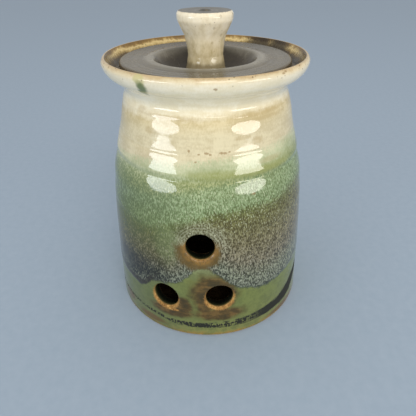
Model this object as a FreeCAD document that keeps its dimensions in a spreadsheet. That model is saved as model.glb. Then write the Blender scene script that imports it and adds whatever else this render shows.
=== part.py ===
import FreeCAD, Part
import os
import Sketcher

# Wheel-thrown stoneware garlic keeper: a vented jar, a drop-in lid and the knob joined to the lid.
# Millimetres, +Z up, origin on the pot's axis at the surface it stands on, vents towards -Y.

doc = FreeCAD.newDocument("garlic_keeper")

sizeTable = [
    # rim, gallery and neck of the jar
    ("rim_height", 116.5, "crest of the rim above the table"),
    ("rim_radius", 40.3, "radius of the rim's crest"),
    ("rim_round", 0.45, "rounding of the crest"),
    ("flange_roll", 1.2, "flange outside the crest"),
    ("flange_drop", 2.3, "widest part of the flange below the crest"),
    ("flange_roll_swell", 0.38, "bulge between the flange's widest part and the crest"),
    ("flange_under_drop", 7.3, "turn from the neck's hollow to the flange's bulge, below the crest"),
    ("flange_under_in", 2.3, "that turn, inside the crest"),
    ("flange_swell", 0.65, "bulge of the flange's underside"),
    ("gallery_slope", 4.0, "crest in to the foot of the gallery"),
    ("gallery_depth", 5.5, "crest down to the ledge that carries the lid"),
    ("gallery_hollow", 0.3, "hollow of the gallery's slope"),
    ("gallery_round", 1.5, "rounding at the foot of the gallery"),
    ("ledge_width", 6.8, "foot of the gallery in to the bore of the mouth"),
    ("ledge_round", 0.8, "rounding of the ledge's inner edge"),
    ("mouth_depth", 8.0, "straight bore of the mouth below the ledge"),
    ("neck_drop", 13.5, "narrowest part of the neck below the crest"),
    ("neck_wall", 4.6, "wall at the neck"),
    ("neck_rise", 3.4, "top of the neck's hollow above its narrowest part"),
    ("neck_fall", 2.2, "bottom of the neck's hollow below its narrowest part"),
    ("neck_hollow", 0.85, "depth of the neck's hollow"),
    ("flare_hollow", 0.25, "hollow between the neck and the flange"),
    # wall and foot of the jar
    ("foot_radius", 47.0, "widest radius, just above the foot"),
    ("foot_bevel", 0.9, "bevel under the wall"),
    ("foot_ring", 8.0, "width of the ring that the jar stands on"),
    ("foot_hollow", 1.0, "depth of the hollow inside that ring"),
    ("wall", 4.8, "thickness of the body's wall"),
    ("floor_thickness", 6.5, "inside floor above the table"),
    ("floor_round", 8.0, "rounding between the inside floor and the wall"),
    ("taper_share", 0.3, "share of the narrowing that is an even taper"),
    ("shoulder_power", 4.0, "how late the shoulder turns in"),
    ("ring_count", 4.0, "throwing rings' creases on the shoulder"),
    ("ring_pitch", 7.5, "height of one throwing ring"),
    ("ring_drop", 8.9, "highest crease below the narrowest part of the neck"),
    ("ring_swell", 0.35, "bulge of a throwing ring between its creases"),
    # vents of the jar
    ("vent_radius", 6.4, "radius of a vent"),
    ("vent_round", 1.1, "rounding of a vent's outer edge"),
    ("vent_inner_round", 0.5, "rounding of a vent's inner edge"),
    ("top_vent_height", 50.5, "upper vent above the table"),
    ("top_vent_turn", -3.6, "upper vent, degrees round from the front"),
    ("left_vent_height", 21.7, "lower left vent above the table"),
    ("left_vent_turn", -24.5, "lower left vent, degrees round from the front"),
    ("right_vent_height", 24.7, "lower right vent above the table"),
    ("right_vent_turn", 6.7, "lower right vent, degrees round from the front"),
    # lid
    ("lid_clearance", 1.6, "lid's edge to the foot of the gallery"),
    ("lid_edge", 3.8, "thickness of the lid's outer ring"),
    ("lid_edge_round", 1.1, "rounding of the lid's outer edge"),
    ("lid_ring", 12.7, "width of the lid's outer ring"),
    ("lid_ring_hollow", 0.25, "hollow of that ring's top"),
    ("lip_round", 1.5, "rounding where the ring falls into the well"),
    ("well_depth", 9.4, "floor of the well below the lid's top"),
    ("well_floor", 4.6, "floor of the well outside the knob"),
    ("well_hollow", 1.2, "hollow of the well's side"),
    ("lid_wall", 5.0, "thickness under the well's floor"),
    ("drop_clearance", 1.5, "lid's dish to the bore of the mouth"),
    ("dish_flat", 12.5, "radius of the flat under the dish"),
    ("dish_swell", 1.4, "bulge of the dish underneath"),
    # knob
    ("knob_base", 8.4, "radius where the knob joins the lid"),
    ("knob_base_hollow", 0.35, "hollow of the knob's lower flare"),
    ("knob_waist", 7.5, "narrowest radius"),
    ("knob_waist_height", 10.6, "narrowest part above the well's floor"),
    ("knob_stem", 7.7, "radius at the top of the stem"),
    ("knob_stem_height", 17.0, "top of the stem above the well's floor"),
    ("knob_stem_hollow", 0.08, "hollow of the stem"),
    ("knob_flare", 10.55, "radius at the top of the flare"),
    ("knob_flare_height", 22.0, "top of the flare above the well's floor"),
    ("knob_flare_hollow", 0.15, "hollow of the flare"),
    ("knob_top", 10.75, "radius of the top's edge"),
    ("knob_height", 25.9, "top's edge above the well's floor"),
    ("knob_head_swell", 0.55, "bulge of the head's side"),
    ("knob_top_round", 0.6, "rounding of the top's edge"),
    ("knob_dimple", 0.5, "hollow of the top at the nub"),
    ("nub_radius", 1.9, "radius of the nub left on the top"),
    ("nub_height", 1.2, "nub above the hollow"),
    ("nub_tip", 1.2, "radius of the nub's tip"),
    ("nub_round", 0.5, "rounding of the nub's tip"),
]


def makeSheet():
    made = doc.addObject("Spreadsheet::Sheet", "sizes")
    for row, (alias, number, meaning) in enumerate(sizeTable, start=1):
        made.set(f"A{row}", meaning)
        made.set(f"B{row}", str(number))
        made.setAlias(f"B{row}", alias)
    doc.recompute()
    return made


sheet = makeSheet()
aliases = [alias for alias, number, meaning in sizeTable]


def bound(expression):
    """An expression of aliases as the sheet's readers need it. Its words stand apart by spaces."""
    return " ".join(f"sizes.{word}" if word in aliases else word for word in expression.split())


def value(expression):
    """The number that an expression of aliases gives."""
    return float(sheet.evalExpression(bound(expression)))


def bind(thing, place, expression):
    thing.setExpression(place, bound(expression))


def makeBody(label):
    body = doc.addObject("PartDesign::Body", label)
    body.Label = label
    return body


def originPlane(body, role):
    return next(feature for feature in body.Origin.OriginFeatures if feature.Role == role)


def makeSketch(body, name):
    """Sketch on the body's own XZ plane: its X is the radius and its Y the height."""
    sketch = body.newObject("Sketcher::SketchObject", name)
    sketch.AttachmentSupport = [(originPlane(body, "XZ_Plane"), "")]
    sketch.MapMode = "FlatFace"
    return sketch


class HalfSection:
    """Closed outline of a turned piece, drawn anticlockwise from corner to corner.

    Each corner is a pair of expressions, radius and height. An arc's swell is how far it bulges
    out of the clay, or with a minus how deep it is hollowed.
    """

    def __init__(self, body, name, radius, height):
        self.sketch = makeSketch(body, name)
        self.corners = [(radius, height)]
        self.swells = []

    def line(self, radius, height):
        self.arc(radius, height, None)

    def arc(self, radius, height, swell):
        self.corners.append((radius, height))
        self.swells.append(swell)

    def close(self):
        """Straight back to the first corner, then every corner and arc is tied to the sheet."""
        self.swells.append(None)
        points = [FreeCAD.Vector(value(radius), value(height), 0) for radius, height in self.corners]
        for first, last, swell in zip(points, points[1:] + points[:1], self.swells):
            self.sketch.addGeometry(edgeShape(first, last, swell))
        self.starts = [self.startPoint(index, point) for index, point in enumerate(points)]
        for index in range(len(points)):
            self.tieCorner(index)
            if self.swells[index] is not None:
                self.tieArc(index)
        return self.sketch

    def startPoint(self, index, point):
        """An arc is stored anticlockwise, so its first point may be either end."""
        return 1 if (self.sketch.getPoint(index, 1) - point).Length < 1e-6 else 2

    def tieCorner(self, index):
        start = self.starts[index]
        before = (index - 1) % len(self.corners)
        endBefore = 3 - self.starts[before]
        self.sketch.addConstraint(Sketcher.Constraint("Coincident", before, endBefore, index, start))
        radius, height = self.corners[index]
        self.tie("DistanceX", (-1, 1, index, start), radius)
        self.tie("DistanceY", (-1, 1, index, start), height)

    def tieArc(self, index):
        radius, height = self.corners[index]
        nextRadius, nextHeight = self.corners[(index + 1) % len(self.corners)]
        swell = f"abs( {self.swells[index]} )"
        chordSquared = f"( ( {radius} ) - ( {nextRadius} ) ) ^ 2 + ( ( {height} ) - ( {nextHeight} ) ) ^ 2"
        self.tie("Radius", (index,), f"( {chordSquared} ) / ( 8 * {swell} ) + {swell} / 2")

    def tie(self, kind, place, expression):
        number = self.sketch.addConstraint(Sketcher.Constraint(kind, *place, value(expression)))
        self.sketch.renameConstraint(number, f"{kind}{number}")
        bind(self.sketch, f"Constraints.{kind}{number}", expression)


def edgeShape(first, last, swell):
    if swell is None:
        return Part.LineSegment(first, last)
    along = last - first
    outwards = FreeCAD.Vector(along.y, -along.x, 0).normalize()
    return Part.Arc(first, (first + last) / 2 + outwards * value(swell), last)


def turn(body, sketch, name):
    """Full turn of a half section about the pot's axis."""
    turned = body.newObject("PartDesign::Revolution", name)
    turned.Profile = sketch
    turned.ReferenceAxis = (sketch, ["V_Axis"])
    turned.Angle = 360
    doc.recompute()
    return turned


def ringEdge(shape, radius, height):
    """Name of the circular edge about the axis at a radius and height."""
    wanted = FreeCAD.Vector(value(radius), value(height), 0)
    best = min(enumerate(shape.Edges, start=1), key=lambda pair: ringDistance(pair[1], wanted))
    return f"Edge{best[0]}"


def ringDistance(edge, wanted):
    point = edge.valueAt(edge.FirstParameter)
    middle = edge.valueAt((edge.FirstParameter + edge.LastParameter) / 2)
    here = FreeCAD.Vector(FreeCAD.Vector(point.x, point.y, 0).Length, point.z, 0)
    level = abs(point.z - middle.z) + abs(here.x - FreeCAD.Vector(middle.x, middle.y, 0).Length)
    return (here - wanted).Length + level


def roundRing(body, base, name, radius, height, rounding):
    """Round the circular edge at a radius and height."""
    roundEdges(body, base, [ringEdge(base.Shape, radius, height)], name, rounding)


def roundEdges(body, base, edges, name, radius):
    rounded = body.newObject("PartDesign::Fillet", name)
    rounded.Base = (base, edges)
    rounded.Radius = value(radius)
    bind(rounded, "Radius", radius)
    doc.recompute()


# Heights and radii that several pieces share.
neckHeight = "( rim_height - neck_drop )"
ledgeHeight = "( rim_height - gallery_depth )"
galleryRadius = "( rim_radius - gallery_slope )"
mouthRadius = f"( {galleryRadius} - ledge_width )"
neckRadius = f"( {mouthRadius} + neck_wall )"
wellFloorHeight = "( lid_edge - well_depth )"


def wallRadius(height):
    """Outside of the wall at a height: an even taper with a shoulder that turns in late."""
    rise = f"( ( {height} ) / {neckHeight} )"
    narrowing = f"( taper_share * {rise} + ( 1 - taper_share ) * {rise} ^ shoulder_power )"
    return f"( foot_radius - ( foot_radius - {neckRadius} ) * {narrowing} )"


def wallSwell(low, high):
    """Bulge of the wall's curve between two heights, outside the straight line between them."""
    middle = wallRadius(f"( {low} + {high} ) / 2")
    return f"( {middle} - ( {wallRadius(low)} + {wallRadius(high)} ) / 2 )"


def creaseHeight(number):
    """Creases between the throwing rings are counted from the top one, 0."""
    return f"( {neckHeight} - ring_drop - {number} * ring_pitch )"


def jarOutside(outline):
    """Up the outside, from the foot's bevel to the crest of the rim."""
    outline.line("foot_radius", "foot_bevel")
    lowCrease = creaseHeight(int(value("ring_count")) - 1)
    bellyHeight = f"( {lowCrease} / 2 )"
    outline.arc(wallRadius(bellyHeight), bellyHeight, wallSwell("foot_bevel", bellyHeight))
    outline.arc(wallRadius(lowCrease), lowCrease, wallSwell(bellyHeight, lowCrease))
    for number in range(int(value("ring_count")) - 2, -1, -1):
        crease = creaseHeight(number)
        outline.arc(f"{wallRadius(crease)} - ring_swell / 2", crease, "ring_swell")
    neckFoot = f"( {neckHeight} - neck_fall )"
    outline.arc(wallRadius(neckFoot), neckFoot, "ring_swell")
    outline.arc(f"{neckRadius} + neck_hollow", f"{neckHeight} + neck_rise", "- neck_hollow")
    outline.arc("rim_radius - flange_under_in", "rim_height - flange_under_drop", "- flare_hollow")
    outline.arc("rim_radius + flange_roll", "rim_height - flange_drop", "flange_swell")
    outline.arc("rim_radius", "rim_height", "flange_roll_swell")


def jarInside(outline):
    """Down the inside, from the crest to the middle of the floor."""
    mouthFoot = f"( {ledgeHeight} - mouth_depth )"
    shoulderFoot = creaseHeight(int(value("ring_count")) - 1)
    outline.arc(galleryRadius, ledgeHeight, "- gallery_hollow")
    outline.line(mouthRadius, ledgeHeight)
    outline.line(mouthRadius, mouthFoot)
    outline.arc(f"{wallRadius(shoulderFoot)} - wall", shoulderFoot, f"- {wallSwell(shoulderFoot, mouthFoot)}")
    belly = wallSwell("floor_thickness", shoulderFoot)
    outline.arc(f"{wallRadius('floor_thickness')} - wall", "floor_thickness", f"- {belly}")
    outline.line("0", "floor_thickness")


def jarFoot(outline):
    """Out along the underside, from the axis to the standing ring."""
    hollowRadius = "foot_radius - foot_bevel - foot_ring"
    outline.line("0", "foot_hollow")
    outline.line(f"{hollowRadius} - foot_hollow", "foot_hollow")
    outline.line(hollowRadius, "0")


def cutVent(body, name, height, turned):
    """One round hole through the front wall, square to it, turned about the pot's axis."""
    sketch = makeSketch(body, f"{name}_circle")
    sketch.AttachmentOffset = FreeCAD.Placement(FreeCAD.Vector(), FreeCAD.Vector(0, 1, 0), value(turned))
    bind(sketch, "AttachmentOffset.Rotation.Angle", turned)
    middle = FreeCAD.Vector(0, value(height), 0)
    sketch.addGeometry(Part.Circle(middle, FreeCAD.Vector(0, 0, 1), value("vent_radius")))
    sketch.addConstraint(Sketcher.Constraint("PointOnObject", 0, 3, -2))
    sketch.addConstraint(Sketcher.Constraint("DistanceY", -1, 1, 0, 3, value(height)))
    sketch.addConstraint(Sketcher.Constraint("Radius", 0, value("vent_radius")))
    sketch.renameConstraint(1, "height")
    sketch.renameConstraint(2, "radius")
    bind(sketch, "Constraints.height", height)
    bind(sketch, "Constraints.radius", "vent_radius")
    before = body.Tip.Shape.Volume
    vent = body.newObject("PartDesign::Pocket", name)
    vent.Profile = sketch
    vent.Type = "Length"
    vent.Reversed = True
    bind(vent, "Length", "foot_radius + rim_radius")
    doc.recompute()
    if not vent.Shape.Volume < before:
        raise RuntimeError(f"{name} cuts nothing")


def ventEdges(shape, vents, outer):
    """Names of the vents' edges on the outside of the wall, or on the inside."""
    middle = value("foot_radius - wall / 2")
    names = []
    for number, edge in enumerate(shape.Edges, start=1):
        point = edge.valueAt((edge.FirstParameter + edge.LastParameter) / 2)
        across = FreeCAD.Vector(point.x, point.y, 0).Length
        wallMiddle = value(f"{wallRadius(str(point.z))} - wall / 2")
        if (across > wallMiddle) == outer and any(onVent(point, height, turned) for height, turned in vents):
            names.append(f"Edge{number}")
    return names


def onVent(point, height, turned):
    """True where a point lies on a vent's bore, in front of the axis."""
    forwards = FreeCAD.Rotation(FreeCAD.Vector(0, 0, 1), value(turned)).multVec(FreeCAD.Vector(0, -1, 0))
    fromAxis = point - FreeCAD.Vector(0, 0, value(height))
    along = fromAxis.dot(forwards)
    return along > 0 and abs((fromAxis - forwards * along).Length - value("vent_radius")) < 1e-3


def makeJar():
    body = makeBody("jar")
    outline = HalfSection(body, "jar_section", "foot_radius - foot_bevel", "0")
    jarOutside(outline)
    jarInside(outline)
    jarFoot(outline)
    thrown = turn(body, outline.close(), "thrown_wall")
    floorRadius = f"{wallRadius('floor_thickness')} - wall"
    roundRing(body, thrown, "floor_corner", floorRadius, "floor_thickness", "floor_round")
    roundRing(body, body.Tip, "gallery_corner", galleryRadius, ledgeHeight, "gallery_round")
    roundRing(body, body.Tip, "ledge_edge", mouthRadius, ledgeHeight, "ledge_round")
    roundRing(body, body.Tip, "rim_crest", "rim_radius", "rim_height", "rim_round")
    vents = [(f"{place}_vent_height", f"{place}_vent_turn") for place in ("top", "left", "right")]
    for height, turned in vents:
        cutVent(body, height.replace("_height", ""), height, turned)
    roundEdges(body, body.Tip, ventEdges(body.Tip.Shape, vents, True), "vent_lips", "vent_round")
    roundEdges(body, body.Tip, ventEdges(body.Tip.Shape, vents, False), "vent_inner_lips", "vent_inner_round")
    return body


def makeLid():
    """Drawn with the underside of its outer ring at zero, then set down on the gallery's ledge."""
    body = makeBody("lid")
    lidRadius = f"( {galleryRadius} - lid_clearance )"
    lipRadius = f"( {lidRadius} - lid_ring )"
    dishDepth = f"( {wellFloorHeight} - lid_wall )"
    outline = HalfSection(body, "lid_section", "0", dishDepth)
    outline.line("dish_flat", dishDepth)
    outline.arc(f"{mouthRadius} - drop_clearance", "0", "dish_swell")
    outline.line(lidRadius, "0")
    outline.line(lidRadius, "lid_edge")
    outline.arc(lipRadius, "lid_edge", "- lid_ring_hollow")
    outline.arc("knob_base + well_floor", wellFloorHeight, "- well_hollow")
    outline.line("0", wellFloorHeight)
    thrown = turn(body, outline.close(), "thrown_plate")
    rims = [ringEdge(thrown.Shape, lidRadius, height) for height in ("0", "lid_edge")]
    roundEdges(body, thrown, rims, "lid_rim", "lid_edge_round")
    roundRing(body, body.Tip, "well_lip", lipRadius, "lid_edge", "lip_round")
    body.Placement.Base = FreeCAD.Vector(0, 0, value(ledgeHeight))
    bind(body, "Placement.Base.z", ledgeHeight)
    return body


def makeKnob():
    """Drawn standing on zero, then set down on the floor of the lid's well."""
    body = makeBody("knob")
    dimpleHeight = "knob_height - knob_dimple"
    nubTop = f"{dimpleHeight} + nub_height"
    outline = HalfSection(body, "knob_section", "0", "0")
    outline.line("knob_base", "0")
    outline.arc("knob_waist", "knob_waist_height", "- knob_base_hollow")
    outline.arc("knob_stem", "knob_stem_height", "- knob_stem_hollow")
    outline.arc("knob_flare", "knob_flare_height", "- knob_flare_hollow")
    outline.arc("knob_top", "knob_height", "knob_head_swell")
    outline.line("nub_radius", dimpleHeight)
    outline.line("nub_tip", nubTop)
    outline.line("0", nubTop)
    thrown = turn(body, outline.close(), "thrown_knob")
    roundRing(body, thrown, "knob_top_edge", "knob_top", "knob_height", "knob_top_round")
    roundRing(body, body.Tip, "nub_edge", "nub_tip", nubTop, "nub_round")
    seat = f"{ledgeHeight} + {wellFloorHeight}"
    body.Placement.Base = FreeCAD.Vector(0, 0, value(seat))
    bind(body, "Placement.Base.z", seat)
    return body


def checkDocument(bodies):
    doc.recompute()
    for thing in doc.Objects:
        if "Invalid" in thing.State or "Error" in thing.State:
            raise RuntimeError(f"{thing.Label} failed: {thing.State}")
    for body in bodies:
        if body.Shape.isNull() or not body.Shape.isValid() or len(body.Shape.Solids) != 1:
            raise RuntimeError(f"{body.Label} isn't one valid solid")


def writeParts(bodies):
    os.makedirs("parts", exist_ok=True)
    for body in bodies:
        body.Shape.exportStep(f"parts/{body.Label}.step")
        print(f"{body.Label}: {body.Shape.Volume / 1000:.1f} cm3, {len(body.Shape.Faces)} faces")


pieces = [makeJar(), makeLid(), makeKnob()]
checkDocument(pieces)
writeParts(pieces)
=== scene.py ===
import math
from functools import partial

import bmesh
import bpy
from mathutils import Matrix, Vector, noise


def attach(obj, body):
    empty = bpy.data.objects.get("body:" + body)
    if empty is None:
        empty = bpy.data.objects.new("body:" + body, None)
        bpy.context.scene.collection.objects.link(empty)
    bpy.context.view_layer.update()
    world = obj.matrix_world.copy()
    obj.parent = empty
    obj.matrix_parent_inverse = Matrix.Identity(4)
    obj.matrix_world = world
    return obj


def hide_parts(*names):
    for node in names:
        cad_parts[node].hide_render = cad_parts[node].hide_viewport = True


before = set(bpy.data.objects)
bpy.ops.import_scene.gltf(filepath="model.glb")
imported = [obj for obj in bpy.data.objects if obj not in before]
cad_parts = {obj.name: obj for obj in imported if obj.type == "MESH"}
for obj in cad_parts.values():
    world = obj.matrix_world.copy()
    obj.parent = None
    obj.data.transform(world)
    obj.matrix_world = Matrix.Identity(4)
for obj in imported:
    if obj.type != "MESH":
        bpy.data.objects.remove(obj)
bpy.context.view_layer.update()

# Wheel-thrown stoneware garlic keeper: a vented jar, a drop-in lid and the lid's knob.
# Sizes are in millimetres until they reach a mesh. Angles are degrees round from the front (-Y),
# with +X positive. Height 0 is the table.

mm = 0.001


def fade(value, start, end):
    # 0 at the start, 1 at the end, and smooth between them.
    share = min(max((value - start) / (end - start), 0.0), 1.0)
    return share * share * (3 - 2 * share)


def between(table, angle):
    # Straight-line reading of an (angle, value) table.
    for (first, low), (last, high) in zip(table, table[1:]):
        if angle <= last:
            return low + (high - low) * (angle - first) / (last - first)
    return table[-1][1]


def polar(vert):
    # A vert's place in millimetres, its distance from the axis and its angle round from the front.
    place = vert.co / mm
    return place, math.hypot(place.x, place.y), math.degrees(math.atan2(place.x, -place.y))


def moveOut(vert, radius, wanted):
    vert.co.x *= wanted / radius
    vert.co.y *= wanted / radius


def arcPoints(first, last, swell, spacing):
    # Points after the first, up to the last, on an arc that bulges to the right of the way along it.
    chord = last - first
    steps = max(1, round(chord.length / spacing))
    if abs(swell) < 1e-6:
        return [first + chord * step / steps for step in range(1, steps + 1)]
    radius = chord.length ** 2 / (8 * abs(swell)) + abs(swell) / 2
    half = math.asin(min(1.0, chord.length / (2 * radius)))
    along = chord.normalized()
    outwards = Vector((chord.y, -chord.x)).normalized() * math.copysign(1, swell)
    centre = (first + last) / 2 - outwards * (radius - abs(swell))
    points = []
    for step in range(1, steps + 1):
        angle = half * (2 * step / steps - 1)
        points.append(centre + outwards * radius * math.cos(angle) + along * radius * math.sin(angle))
    return points


def traceOutline(corners):
    # Corners are (radius, height, rounding, swell of the stretch that leads there, spacing).
    places = [Vector(corner[:2]) for corner in corners]
    stretches = []
    for index, corner in enumerate(corners[1:], start=1):
        here = places[index]
        rounding, swell, spacing = corner[2:]
        if not rounding:
            stretches.append((here, swell, spacing))
            continue
        before = (here - places[index - 1]).normalized()
        after = (places[index + 1] - here).normalized()
        bend = before.angle_signed(after)
        cut = rounding * math.tan(abs(bend) / 2)
        stretches.append((here - before * cut, swell, spacing))
        roundSwell = rounding * (1 - math.cos(bend / 2)) * math.copysign(1, -bend)
        stretches.append((here + after * cut, roundSwell, rounding * abs(bend) / 5))
    points = [places[0]]
    for place, swell, spacing in stretches:
        points += arcPoints(points[-1], place, swell, spacing)
    return points


def spinOutline(points, segments):
    # Full turn about the pot's axis. The outline starts and ends on the axis, so the shell is closed.
    shell = bmesh.new()
    verts = [shell.verts.new((point.x * mm, 0, point.y * mm)) for point in points]
    edges = [shell.edges.new(pair) for pair in zip(verts, verts[1:])]
    bmesh.ops.spin(shell, geom=verts + edges, cent=(0, 0, 0), axis=(0, 0, 1), angle=math.tau,
                   steps=segments, use_merge=True)
    bmesh.ops.remove_doubles(shell, verts=shell.verts, dist=1e-6)
    bmesh.ops.recalc_face_normals(shell, faces=shell.faces)
    return shell


def placeObject(name, data):
    made = bpy.data.objects.new(name, data)
    bpy.context.scene.collection.objects.link(made)
    return made


def finishPiece(shell, name, body, node, materials):
    openEdges = sum(1 for edge in shell.edges if len(edge.link_faces) != 2)
    print(name, "has", len(shell.faces), "faces and", openEdges, "open edges")
    mesh = bpy.data.meshes.new(name)
    for face in shell.faces:
        face.smooth = True
    shell.to_mesh(mesh)
    shell.free()
    for material in materials:
        mesh.materials.append(material)
    piece = placeObject(name, mesh)
    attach(piece, body)
    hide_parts(node)


jarSizes = {
    "hollowRadius": 36.6,    # the hollow under the foot
    "hollowHeight": 1.0,
    "standInner": 38.2,      # the flat ring that the jar stands on
    "standOuter": 46.0,
    "footRadius": 46.9,      # widest, just above the foot
    "wallFoot": 1.5,
    "neckRadius": 34.1,      # narrowest part of the neck
    "neckHeight": 103.0,
    "taperShare": 0.3,       # share of the narrowing that is an even taper
    "shoulderPower": 4.0,    # how late the shoulder turns in
    "shoulderTop": 100.6,    # where the wall starts to turn into the neck
    "flare": ((34.95, 106.6), (38.0, 109.2), (41.5, 114.2)),    # radius and height, from neck to rim
    "rimRadius": 40.3,
    "rimHeight": 116.2,      # of the rim's two edges; its crest swells above them
    "galleryRadius": 36.3,
    "ledgeHeight": 111.0,
    "mouthRadius": 29.5,
    "mouthFoot": 103.0,
    "shoulderFoot": 71.6,    # under it the wall has an even thickness
    "wall": 4.8,
    "floor": 6.5,
    "floorRound": 5.5,
    "ringFoot": 60.0,        # the throwing rings start here, and the rows of the mesh close up
    "outsideStep": 0.85,     # between rows of the outside mesh
    "ringStep": 0.55,
    "insideStep": 2.0,
    "segments": 280,
}

# Throwing rings, as (height, push outwards, lean of the wall there). The creases are where the
# push changes quickly: near 88, 79, 68 and 58.
throwingRings = {
    "profile": ((52, 0, 0), (56.5, -0.06, 0), (58, 0.08, 0), (65, -0.06, 0), (67, 0.06, 0.06),
                (69.5, 0.18, 0), (71, 0.15, -0.04), (72.5, 0.04, -0.115), (75.3, -0.35, -0.16),
                (78.1, -0.88, -0.225), (78.4, -0.85, 0.27), (80.0, -0.42, 0.27), (80.4, -0.39, -0.115),
                (82.3, -0.56, -0.065), (84.8, -0.67, -0.02), (87.4, -0.84, -0.11), (87.9, -0.92, 0),
                (88.4, -0.85, 0), (91.3, -0.76, 0.07), (94.3, -0.49, 0.12), (97.3, -0.19, 0.085),
                (99.4, -0.04, 0.055), (100.8, 0, 0)),
    "slant": 0.8,            # they lie aslant, higher on the left
    "wobble": 0.08,          # slow unevenness that a hand leaves
    "fingerDepth": 0.35,     # the finger's spiral inside the jar
    "fingerPitch": 9.0,
    "glazeRoll": 0.22,       # the upper glaze ends in a thick rolled edge
}

# A vent's edge is wiped bare round a place a little under its centre.
vents = (
    {"angle": -3.9, "height": 50.5, "wipedDown": 0.4, "wiped": 6.25},
    {"angle": -24.8, "height": 21.7, "wipedDown": 1.1, "wiped": 6.75},
    {"angle": 6.3, "height": 24.2, "wipedDown": 1.0, "wiped": 6.9},
)
ventSizes = {
    "radius": 5.95,
    "outerRound": 1.35,      # the rounding of the hole's outer and inner edge
    "innerRound": 0.6,
    "outerClearing": 9.0,    # radius of the wall that is taken away and grown again round a hole
    "innerClearing": 8.4,
}

# Where the glazes meet, going up, as (angle, height) round the jar.
glazeEdges = {
    "thick": ((-180, 26), (-140, 23), (-100, 25), (-70, 22), (-55, 22), (-42, 21.5), (-38, 23.5),
              (-33, 28.5), (-20, 29.5), (-15, 32), (-10, 36), (-7, 39.5), (0, 40), (5, 37), (10, 33),
              (15, 29), (20, 27.5), (27, 25), (35, 24), (45, 25), (60, 26), (90, 28), (130, 24), (180, 26)),
    "brown": ((-180, 60), (-120, 58), (-70, 57), (-45, 57.5), (-29, 57), (-20, 58.5), (-12, 61), (-5, 62.5),
              (0, 64), (5, 65), (20, 66), (45, 66.5), (60, 68.5), (90, 66), (135, 62), (180, 60)),
    "cream": ((-180, 86), (-120, 84), (-60, 82.5), (-40, 84), (-20, 85.5), (0, 86.5), (20, 87.5),
              (45, 88.5), (90, 89), (135, 87.5), (180, 86)),
}

# Where the jar's other finishes start and end, and the order of its materials.
jarFinishes = {
    "glaze": 0, "ironWash": 1, "liner": 2, "clay": 3,
    "standTop": 0.35,        # bare clay up to here on the standing ring,
    "hollowTop": 1.2,        # and up to here inside it
    "washFoot": 109.8,
    "ledgeTop": 111.6,
    "ledgeReach": 37.5,
    "mouthReach": 33.0,
    "linerDepth": 4.2,       # the liner lies deeper in the wall than this,
    "linerDepthAbove": 2.4,  # or than this above the shoulder's foot
}


def wallRadius(height):
    share = height / jarSizes["neckHeight"]
    curved = share ** jarSizes["shoulderPower"]
    narrowing = jarSizes["taperShare"] * share + (1 - jarSizes["taperShare"]) * curved
    return jarSizes["footRadius"] - (jarSizes["footRadius"] - jarSizes["neckRadius"]) * narrowing


def ringPush(angle, height):
    # A smooth curve through the rings' profile.
    here = height + throwingRings["slant"] * math.sin(math.radians(angle))
    profile = throwingRings["profile"]
    for (low, out, lean), (high, nextOut, nextLean) in zip(profile, profile[1:]):
        if low <= here < high:
            up = (here - low) / (high - low)
            sway = (high - low) * up * (1 - up) * (lean * (1 - up) - nextLean * up)
            return out + (nextOut - out) * up * up * (3 - 2 * up) + sway
    return 0.0


def handPush(angle, height):
    turned = math.radians(angle)
    place = Vector((math.sin(turned) * 1.6, -math.cos(turned) * 1.6, height / 22))
    return throwingRings["wobble"] * noise.noise(place)


def glazePush(angle, height):
    above = height - between(glazeEdges["thick"], angle)
    roll = fade(above, -0.6, 0.9) * (1 - 0.5 * fade(above, 2.0, 7.0)) * (1 - fade(height, 60, 80))
    return throwingRings["glazeRoll"] * roll


def outsideRadius(angle, height):
    # The foot and the neck stay round.
    held = fade(height, 2.0, 14.0) * (1 - fade(height, 100.0, jarSizes["shoulderTop"] + 1))
    push = ringPush(angle, height) + handPush(angle, height) + glazePush(angle, height)
    return wallRadius(height) + (push - 0.1) * held


def insideRadius(angle, height):
    spiral = math.sin(math.tau * (height / throwingRings["fingerPitch"] + angle / 360))
    held = fade(height, 30, 38) * (1 - fade(height, 60, 70))
    return wallRadius(height) - jarSizes["wall"] + throwingRings["fingerDepth"] * spiral * held


def isOutside(radius, height):
    middle = wallRadius(height) - jarSizes["wall"] / 2
    return jarSizes["hollowHeight"] < height < jarSizes["shoulderTop"] + 0.1 and radius > middle


def isInside(radius, height):
    low = jarSizes["floor"] + jarSizes["floorRound"] + 0.1
    offSkin = abs(wallRadius(height) - jarSizes["wall"] - radius)
    return low < height < jarSizes["shoulderFoot"] and offSkin < 0.6


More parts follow.
